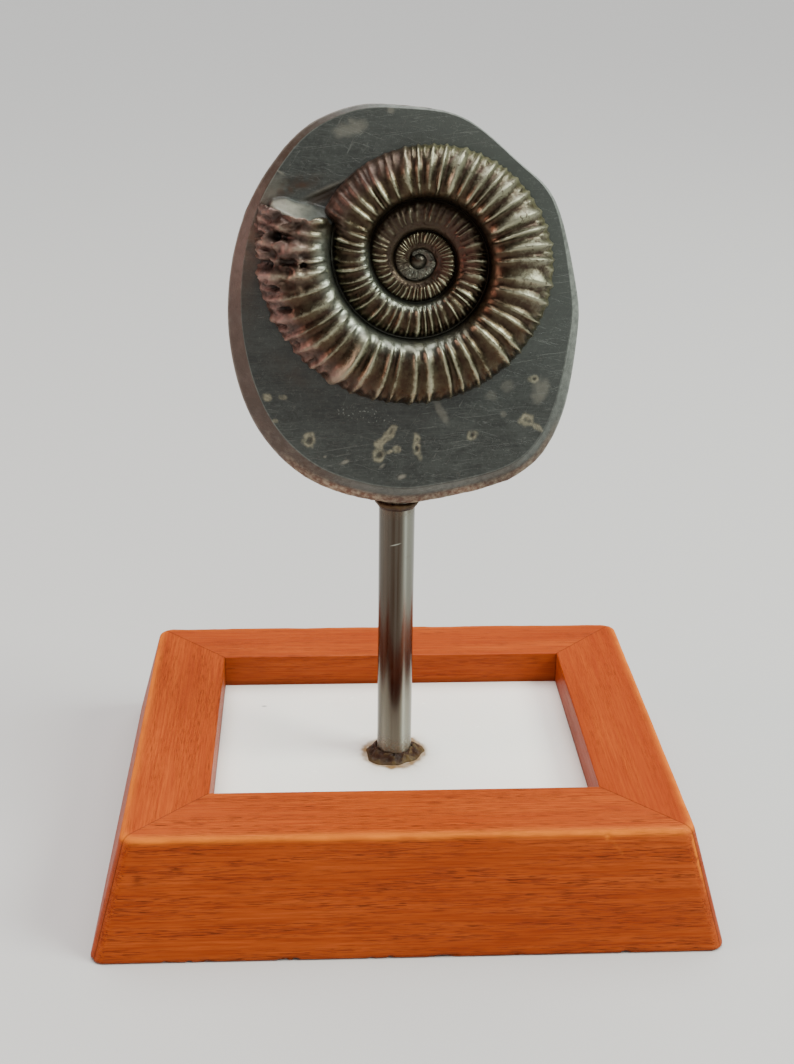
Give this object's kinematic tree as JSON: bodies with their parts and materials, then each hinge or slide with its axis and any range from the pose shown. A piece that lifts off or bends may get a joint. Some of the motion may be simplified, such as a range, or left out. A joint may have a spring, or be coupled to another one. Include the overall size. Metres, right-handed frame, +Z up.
{
  "type": "fossil ammonite on a display stand",
  "caption": "Ribbed bronze-coloured ammonite in high relief on a ground slab of dark grey stone, held up by a steel rod on a white marble plate in a mitred wooden frame.",
  "frame": {"origin": "on the surface that the frame stands on, under the middle of the frame", "axes": "+Z up, -Y towards the fossil's face, +X to the right seen from the front"},
  "size_m": [0.1334, 0.1134, 0.1668],
  "materials": {
    "shell": "fossil shell replaced by a bronze-coloured metallic mineral, worn bright on the ribs",
    "matrix": "dark grey shale, ground smooth on the face, with a rough rust-brown rim",
    "top_glue": "rust-brown hardened glue",
    "rod": "polished steel with fine scratches",
    "foot_glue": "dark amber hardened glue",
    "marble": "polished white marble",
    "wood": "varnished orange-brown hardwood with dark pores along the grain"
  },
  "bodies": {
    "root": {"ammonite": "shell", "matrix_slab": "matrix", "top_glue": "top_glue", "rod": "rod", "glue_collar": "foot_glue", "marble_slab": "marble", "front_rail": "wood", "back_rail": "wood", "left_rail": "wood", "right_rail": "wood"}
  },
  "joints": []
}
